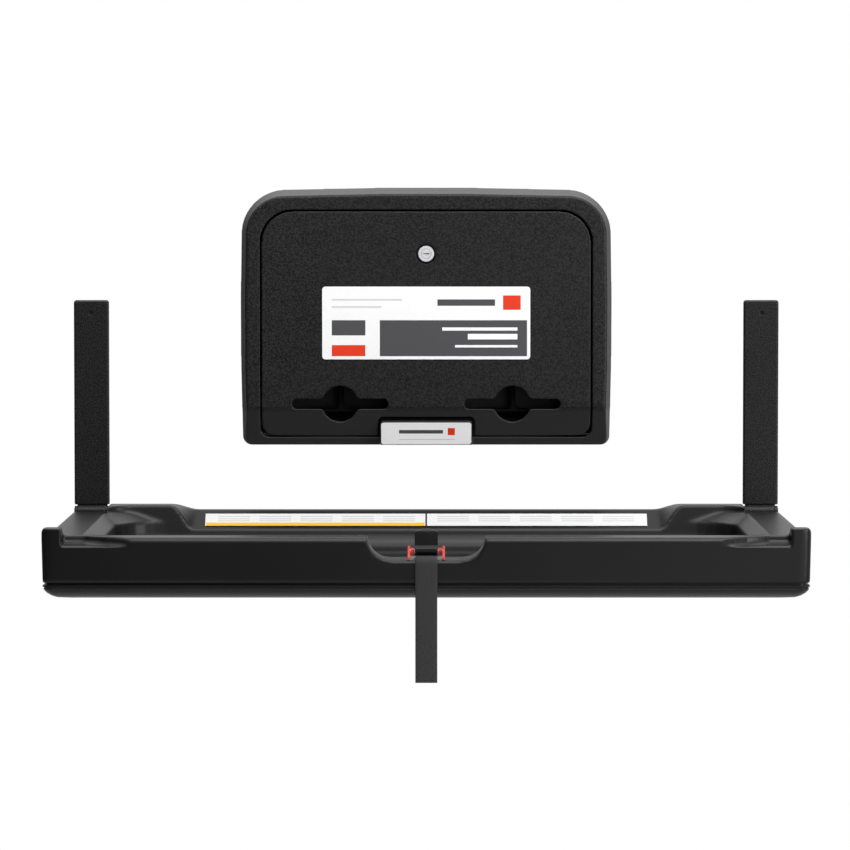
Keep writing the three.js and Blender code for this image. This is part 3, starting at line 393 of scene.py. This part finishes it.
def soft_rubber(name, tone):
    """Dull rubber with a dusty bloom."""
    finish = Finish(name)
    bloom = finish.noise(140.0, 4.0)
    base = finish.mix(bloom, shade(tone, 0.7), shade(tone, 2.2))
    return finish.dress(base, 0.75 + 0.2 * bloom, bloom, 0.1 * MM, 0.4)


def woven_webbing(name, tone, rib):
    """Webbing of ribs that step to and fro across the width; UV is in metres."""
    finish = Finish(name, {"Sheen Weight": 0.05, "Sheen Roughness": 0.5})
    across, along, _ = finish.axes(finish.node("ShaderNodeTexCoord", out="UV"))
    column = (across / (rib * 0.62)).floor()
    stagger = (column % 2.0) * 0.5
    bar = abs(((along / rib + stagger) * math.pi).sine())
    yarn = abs((across / (rib * 0.62) * math.pi).sine())
    weave = bar * 0.65 + yarn * 0.35
    fuzz = finish.noise(1500.0, 2.0)
    base = finish.mix(weave * 0.75 + fuzz * 0.25, shade(tone, 0.35), shade(tone, 1.7))
    return finish.dress(base, 0.72 + 0.2 * fuzz, weave + fuzz * 0.2, 0.25 * MM, 0.8)


def printed_plate(name, tone, blocks):
    """A white plate with plain blocks: (colour, x range, z range) in metres of the row frame."""
    finish = Finish(name, {"Specular IOR Level": 0.25})
    x, _, z = finish.axes(finish.place())
    mottle = finish.noise(300.0, 3.0)
    base = finish.mix(mottle, shade(tone, 0.97), shade(tone, 1.02))
    for ink, wide, high in blocks:
        base = finish.mix(x.within(*wide) * z.within(*high), base, ink)
    return finish.dress(base, 0.34 + 0.1 * mottle, mottle, 0.02 * MM, 0.3)


# Meshes


def new_piece(name, mesh):
    made = bpy.data.objects.new(name, mesh)
    bpy.context.scene.collection.objects.link(made)
    return made


def welded_copy(nodes, name, flatten):
    """A new piece with the shape of CAD nodes; flatten joins faces that lie in one plane."""
    work = bmesh.new()
    for node in nodes:
        work.from_mesh(NODES[node].data)
    bmesh.ops.remove_doubles(work, verts=work.verts, dist=2e-6)
    if flatten:
        limit = math.radians(0.6)
        bmesh.ops.dissolve_limit(work, angle_limit=limit, verts=work.verts, edges=work.edges)
    work.verts.index_update()
    mesh = bpy.data.meshes.new(name)
    faces = [[corner.index for corner in face.verts] for face in work.faces]
    mesh.from_pydata([corner.co for corner in work.verts], [], faces)
    work.free()
    return new_piece(name, mesh)


def close_seams(piece):
    """Moves points beside a division of the tray's shell onto it, so that its sections meet."""
    for point in piece.data.vertices:
        for axis, seam in SEAMS:
            if abs(point.co[axis] - seam) < SEAM_GAP:
                point.co[axis] = seam


def settle(piece):
    """Turns a piece's modifiers into its mesh."""
    graph = bpy.context.evaluated_depsgraph_get()
    mesh = bpy.data.meshes.new_from_object(piece.evaluated_get(graph))
    piece.modifiers.clear()
    piece.data = mesh


def softened(nodes, name, voxel, passes, share):
    """A copy whose edges are rounded as in a mould, by an even remesh that is smoothed and thinned."""
    piece = welded_copy(nodes, name, flatten=False)
    close_seams(piece)
    even = piece.modifiers.new("Even", "REMESH")
    even.mode = "VOXEL"
    even.voxel_size = voxel
    soften = piece.modifiers.new("Soften", "SMOOTH")
    soften.factor = 0.5
    soften.iterations = passes
    thin = piece.modifiers.new("Thin", "DECIMATE")
    thin.ratio = share
    settle(piece)
    piece.data.shade_smooth()
    return piece


def bevelled(node, name, width, segments=2, angle=32):
    """A copy with its sharp edges rounded."""
    piece = welded_copy([node], name, flatten=True)
    bevel = piece.modifiers.new("Edges", "BEVEL")
    bevel.width = width
    bevel.segments = segments
    bevel.limit_method = "ANGLE"
    bevel.angle_limit = math.radians(angle)
    flat = piece.modifiers.new("Flat", "WEIGHTED_NORMAL")
    flat.weight = 100
    piece.data.shade_smooth()
    settle(piece)
    piece.data.set_sharp_from_angle(angle=math.radians(angle))
    return piece


def stand_for(piece, finish, *nodes):
    """The piece takes the place of CAD nodes of one body."""
    piece.data.materials.clear()
    piece.data.materials.append(finish)
    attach(piece, NODES[nodes[0]]["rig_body"])
    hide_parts(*nodes)
    return piece


def paint(finish, *names):
    """Carried-over CAD nodes get a finish."""
    for name in names:
        NODES[name].data.materials.clear()
        NODES[name].data.materials.append(finish)


def both(stem):
    return [f"{stem}_{side}" for side in SIDES]


def numbered(stem, count):
    return [f"{stem}_{i + 1}" for i in range(count)]


# Strap


def front_wall(level):
    """Where the bed's front wall stands at a height above the deck."""
    return LIP_BACK + (LIP_TOP - level) * WALL_SLOPE


def cove_inset(level):
    """How far the cove at the wall's foot reaches into the bed."""
    low = max(0.0, BED_COVE - (level - BED_FLOOR))
    return BED_COVE - math.sqrt(BED_COVE**2 - low**2)


def strap_route():
    """The strap's line as points in metres: along the bed, up its front wall, over the sill and down."""
    route = list(STRAP_START)
    for level in WALL_LEVELS:
        route.append((front_wall(level) + cove_inset(level) + 1.1, DECK_Z + level + 1.6))
    sill = DECK_Z + SCOOP_FLOOR + STRAP_ON_SCOOP
    edge = front_wall(SCOOP_FLOOR)
    route += [(edge + 0.6, sill - 1.2), (edge - 3, sill)]
    for i in range(BEND_STEPS + 1):
        turn = math.pi / 2 * i / BEND_STEPS
        forward, down = 1 - math.sin(turn), 1 - math.cos(turn)
        route.append((STRAP_FRONT + STRAP_BEND * forward, sill - STRAP_BEND * down))
    route.append((STRAP_FRONT, STRAP_END))
    return [Vector((0, y * MM, z * MM)) for y, z in route]


def resampled(points, step):
    """Points at an even spacing along a line."""
    made = [points[0]]
    spare = 0.0
    for start, end in zip(points, points[1:]):
        run = (end - start).length
        along = step - spare
        while along <= run:
            made.append(start.lerp(end, along / run))
            along += step
        spare = (spare + run) % step
    if (made[-1] - points[-1]).length > step * 0.2:
        made.append(points[-1])
    else:
        made[-1] = points[-1]
    return made


def strap_section(width, thickness):
    """The webbing's outline across (x, out): flat faces and rounded selvedges."""
    half, thick = width / 2, thickness / 2
    inner = half - thick
    across = [-1, -0.5, 0, 0.5, 1]
    outline = [(inner * u, thick) for u in across]
    bend = thick * 0.7
    outline += [(inner + bend, bend), (half, 0), (inner + bend, -bend)]
    outline += [(inner * u, -thick) for u in reversed(across)]
    return outline + [(-inner - bend, -bend), (-half, 0), (-inner - bend, bend)]


def strap_mesh(line, width, thickness):
    """A closed strip of webbing along a line in the YZ plane, with UV in metres."""
    section = strap_section(width, thickness)
    count = len(section)
    work = bmesh.new()
    uv = work.loops.layers.uv.new("Weave")
    rings = []
    for i, point in enumerate(line):
        ahead = (line[min(i + 1, len(line) - 1)] - line[max(i - 1, 0)]).normalized()
        out = Vector((0, -ahead.z, ahead.y))
        rings.append([work.verts.new(point + Vector((x, 0, 0)) + out * up) for x, up in section])
    step = (line[1] - line[0]).length
    for r in range(len(rings) - 1):
        for i in range(count):
            j = (i + 1) % count
            face = work.faces.new((rings[r][i], rings[r][j], rings[r + 1][j], rings[r + 1][i]))
            corners = ((i, r), (j, r), (j, r + 1), (i, r + 1))
            for loop, (k, row) in zip(face.loops, corners):
                loop[uv].uv = (section[k][0] + width / 2, row * step)
    work.faces.new(rings[0][::-1])
    work.faces.new(rings[-1])
    bmesh.ops.recalc_face_normals(work, faces=work.faces)
    mesh = bpy.data.meshes.new("strap")
    work.to_mesh(mesh)
    work.free()
    mesh.shade_smooth()
    mesh.set_sharp_from_angle(angle=math.radians(50))
    return mesh


# Operators


def chosen(context):
    """The sizes and colours that are set in the panel."""
    return context.scene.station.sizes, context.scene.station.colours


class STATION_OT_dispenser(bpy.types.Operator):
    """Dispenser casing, door and the pieces inside"""

    bl_idname = "station.dispenser"
    bl_label = "Dispenser"

    def execute(self, context):
        sizes, tones = chosen(context)
        grained = grained_plastic("grained_black", tones.dispenser, sizes.grain, CHIN_TOP)
        casing = softened(["dispenser_casing"], "casing", sizes.box_voxel, passes=4, share=0.16)
        stand_for(casing, grained, "dispenser_casing")
        door = softened(["door_panel"], "door", sizes.box_voxel, passes=3, share=0.16)
        stand_for(door, grained, "door_panel")
        # The shelf, divider and posts are black plastic painted darker and duller than the casing:
        # painted shade for the inside of the dispenser
        inside = plain_plastic("inside_shaded_black", tones.lever, 0.6, shine=0.08)
        paint(inside, "liner_shelf", "liner_divider", *both("liner_post"))
        paint(painted_steel("dispenser_steel", tones.steel), "dispenser_back")
        return {"FINISHED"}


class STATION_OT_lock(bpy.types.Operator):
    """Cam lock on the door"""

    bl_idname = "station.lock"
    bl_label = "Cam lock"

    def execute(self, context):
        sizes, tones = chosen(context)
        steel = bare_steel("lock_steel", tones.bright)
        plated = bare_steel("lock_plated", tones.bright, metallic=0.35)
        for node in ("lock_barrel", "lock_plug"):
            stand_for(bevelled(node, node + "_face", sizes.edge * 0.3), plated, node)
        ring = bevelled("lock_ring", "lock_bezel", sizes.edge * 0.6)
        stand_for(ring, plain_plastic("bezel_black", tones.lever, 0.6, shine=0.08), "lock_ring")
        paint(steel, "lock_nut", "lock_cam", "cam_screw")
        paint(painted_steel("strike_black", tones.steel), "lock_strike", *both("door_pin"))
        return {"FINISHED"}


class STATION_OT_plates(bpy.types.Operator):
    """White plates on the door, the tab and the rear ramp, with plain blocks of colour"""

    bl_idname = "station.plates"
    bl_label = "Plates"

    def execute(self, context):
        sizes, tones = chosen(context)
        width = sizes.edge * 0.4
        door_blocks = [
            (tones.ink, (-0.058, 0.126), (-0.048, -0.003)),
            (tones.plate, (0.020, 0.114), (-0.016, -0.012)),
            (tones.plate, (0.052, 0.114), (-0.027, -0.020)),
            (tones.plate, (0.036, 0.114), (-0.037, -0.034)),
            (tones.accent, (-0.118, -0.076), (-0.048, -0.034)),
            (tones.ink, (-0.118, -0.076), (-0.022, -0.003)),
            (tones.accent, (0.096, 0.118), (0.010, 0.028)),
            (tones.ink, (0.014, 0.086), (0.015, 0.023)),
            (tones.pale_ink, (-0.118, -0.030), (0.0215, 0.0235)),
            (tones.pale_ink, (-0.118, -0.056), (0.0125, 0.0145)),
        ]
        door = bevelled("door_plate", "door_sign", width)
        stand_for(door, printed_plate("door_print", tones.plate, door_blocks), "door_plate")
        tab_blocks = [
            (tones.accent, (0.027, 0.036), (-0.1475, -0.1385)),
            (tones.ink, (-0.034, 0.021), (-0.1455, -0.1410)),
            (tones.pale_ink, (-0.034, 0.036), (-0.1535, -0.1525)),
        ]
        tab = bevelled("tab_plate", "tab_sign", width)
        stand_for(tab, printed_plate("tab_print", tones.plate, tab_blocks), "tab_plate")
        for side, sign in zip(SIDES, (-1, 1)):
            node = f"rear_strip_{side}"
            blocks = []
            for i in range(5):
                ends = sorted((sign * (0.014 + 0.052 * i), sign * (0.054 + 0.052 * i)))
                blocks += [(tones.pale_ink, ends, (z, z + 0.0011)) for z in (-0.2518, -0.2545, -0.2569)]
            if side == "left":
                blocks.append((tones.amber, (-0.277, -0.002), (-0.2640, -0.2583)))
            strip = bevelled(node, f"ramp_strip_{side}", width)
            # The strips' white is toned down by 0.9: painted shade that offsets the extra light on their
            # upward-facing ramp
            stand_for(strip, printed_plate(f"shaded_strip_print_{side}", shade(tones.plate, 0.9), blocks), node)
        return {"FINISHED"}


class STATION_OT_arms(bpy.types.Operator):
    """Arm covers, wall plates and hinges"""

    bl_idname = "station.arms"
    bl_label = "Arms and hinges"

    def execute(self, context):
        sizes, tones = chosen(context)
        grained = grained_plastic("arm_black", tones.arm, sizes.grain * 0.8)
        steel = painted_steel("hinge_black", tones.steel)
        bright = bare_steel("hinge_steel", tones.bright)
        for side in SIDES:
            node = f"arm_cover_{side}"
            cover = softened([node], f"arm_{side}", sizes.box_voxel, passes=2, share=0.12)
            stand_for(cover, grained, node)
            for stem in ("hinge_knuckle", "hinge_bracket"):
                node = f"{stem}_{side}"
                stand_for(bevelled(node, f"{stem}_body_{side}", sizes.edge * 0.6), grained, node)
        paint(steel, *both("wall_plate"), *both("hinge_pin"), *both("cover_screw"), "cross_tube")
        paint(bright, *numbered("casing_screw", 4))
        paint(plain_plastic("bush_nylon", tones.nylon, 0.4), *both("hinge_bush"))
        return {"FINISHED"}


class STATION_OT_tray(bpy.types.Operator):
    """Tray shell, lower cover and the pieces on them"""

    bl_idname = "station.tray"
    bl_label = "Tray"

    def execute(self, context):
        sizes, tones = chosen(context)
        satin = satin_plastic("tray_black", tones.tray)
        shell = softened(TRAY_SECTIONS, "tray_top", sizes.tray_voxel, passes=4, share=0.14)
        stand_for(shell, satin, *TRAY_SECTIONS)
        base = bevelled("tray_base", "tray_cover", sizes.edge)
        stand_for(base, satin, "tray_base")
        paint(soft_rubber("bumper_rubber", tones.rubber), *both("stop_bumper"))
        paint(bare_steel("screw_steel", tones.bright), *numbered("base_screw", 4), "strap_bar")
        return {"FINISHED"}


class STATION_OT_strap(bpy.types.Operator):
    """Safety strap of flat webbing"""

    bl_idname = "station.strap"
    bl_label = "Strap"

    def execute(self, context):
        sizes, tones = chosen(context)
        line = resampled(strap_route(), 3 * MM)
        run = sum((b - a).length for a, b in zip(line, line[1:]))
        mesh = strap_mesh(line, sizes.strap_width, sizes.strap_thickness)
        strap = new_piece("strap", mesh)
        mesh.materials.append(woven_webbing("webbing_black", tones.webbing, sizes.rib))
        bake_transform(strap)
        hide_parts("strap_bed", "strap_tail")
        anchor = bevelled("strap_anchor", "anchor_plate", sizes.edge)
        stand_for(anchor, plain_plastic("anchor_black", tones.lever, 0.35), "strap_anchor")
        return {"FINISHED"}


class STATION_OT_buckle(bpy.types.Operator):
    """Cam buckle in the front scoop"""

    bl_idname = "station.buckle"
    bl_label = "Buckle"

    def execute(self, context):
        sizes, tones = chosen(context)
        red = plain_plastic("buckle_red", tones.red, 0.32)
        black = plain_plastic("lever_black", tones.lever, 0.28)
        stand_for(bevelled("buckle_frame", "buckle_cheeks", sizes.edge), red, "buckle_frame")
        stand_for(bevelled("buckle_lever", "buckle_thumb", sizes.edge), black, "buckle_lever")
        paint(red, *both("axle_sleeve"))
        paint(bare_steel("buckle_steel", tones.bright), "buckle_plate", "buckle_axle")
        return {"FINISHED"}


class STATION_OT_stage(bpy.types.Operator):
    """Floor, light and camera"""

    bl_idname = "station.stage"
    bl_label = "Stage"

    def execute(self, context):
        scene = context.scene
        settings = scene.station
        scene.view_settings.view_transform = "Standard"
        self.add_camera(scene)
        self.add_floor(settings.colours.floor)
        self.add_world(scene, settings.light.fill)
        self.add_lamp("key_lamp", KEY_PLACE, KEY_SIZE, settings.light.key)
        self.add_lamp("side_lamp", SIDE_PLACE, SIDE_SIZE, settings.light.side)
        self.add_lamp("low_lamp", LOW_PLACE, LOW_SIZE, settings.light.low)
        return {"FINISHED"}

    def add_camera(self, scene):
        camera = bpy.data.objects.new("camera", bpy.data.cameras.new("camera"))
        camera.location = CAMERA_PLACE
        camera.rotation_euler = (CAMERA_PITCH, 0, 0)
        camera.data.lens = CAMERA_LENS
        camera.data.sensor_width = 36
        camera.data.clip_end = 100
        scene.collection.objects.link(camera)
        scene.camera = camera

    def add_floor(self, tone):
        level = CAD_BOX[0][2] - FLOOR_DROP
        signs = ((-1, -1), (1, -1), (1, 1), (-1, 1))
        corners = [(x * FLOOR_HALF, y * FLOOR_HALF, level) for x, y in signs]
        mesh = bpy.data.meshes.new("floor")
        mesh.from_pydata(corners, [], [(0, 1, 2, 3)])
        floor = new_piece("floor", mesh)
        finish = Finish("floor_white", {"Roughness": 0.9})
        finish.shader.inputs["Base Color"].default_value = (*tone, 1)
        glow = finish.node("ShaderNodeEmission", sockets={"Strength": 1.0})
        direct, mirrored = finish.rays()
        plain = Value(finish, finish.shader.outputs[0])
        sockets = {0: (direct + mirrored) * FLOOR_GLOW, 1: plain, 2: glow}
        mixed = finish.node("ShaderNodeMixShader", sockets=sockets)
        finish.feed(finish.tree.nodes["Material Output"].inputs["Surface"], mixed)
        mesh.materials.append(finish.material)

    def add_world(self, scene, fill):
        world = bpy.data.worlds.new("studio")
        world.use_nodes = True
        scene.world = world
        studio = Nodes(world.node_tree)
        ground = world.node_tree.nodes["Background"]
        ground.inputs["Color"].default_value = (1, 1, 1, 1)
        place = studio.node("ShaderNodeTexCoord", out="Generated")
        right, behind, above = studio.axes(place)
        direct, mirrored = studio.rays()
        backdrop = (behind * 1.4).limited() * (0.34 + above * 1.2 + right * 0.5).limited()
        overhead = ((above - 0.3) * 2.0).limited() * 2.2
        reflected = 0.05 + backdrop + overhead
        strength = fill + direct * (1 - fill) + mirrored * (reflected - fill)
        studio.feed(ground.inputs["Strength"], strength)

    def add_lamp(self, name, place, size, power):
        lamp = bpy.data.objects.new(name, bpy.data.lights.new(name, "AREA"))
        lamp.data.size = size
        lamp.data.energy = power
        lamp.location = place
        aim = LAMP_AIM - Vector(place)
        lamp.rotation_euler = aim.to_track_quat("-Z", "Y").to_euler()
        bpy.context.scene.collection.objects.link(lamp)


OPERATORS = (
    STATION_OT_stage,
    STATION_OT_strap,
    STATION_OT_dispenser,
    STATION_OT_lock,
    STATION_OT_plates,
    STATION_OT_arms,
    STATION_OT_tray,
    STATION_OT_buckle,
)


class STATION_PT_panel(bpy.types.Panel):
    """Sizes, colours and steps of the station"""

    bl_label = "Changing station"
    bl_idname = "STATION_PT_panel"
    bl_space_type = "VIEW_3D"
    bl_region_type = "UI"
    bl_category = "Station"

    def draw(self, context):
        station = context.scene.station
        for group in (station.sizes, station.colours, station.light):
            box = self.layout.box()
            for word in group.__annotations__:
                box.prop(group, word)
        for operator in OPERATORS:
            self.layout.operator(operator.bl_idname)


CLASSES = (StationSizes, StationColours, StationLight, StationSettings, *OPERATORS, STATION_PT_panel)


def register():
    for entry in CLASSES:
        bpy.utils.register_class(entry)
    bpy.types.Scene.station = PointerProperty(type=StationSettings)


def unregister():
    del bpy.types.Scene.station
    for entry in reversed(CLASSES):
        bpy.utils.unregister_class(entry)


def main():
    register()
    for operator in OPERATORS:
        group, word = operator.bl_idname.split(".")
        getattr(getattr(bpy.ops, group), word)()


if __name__ == "__main__":
    main()
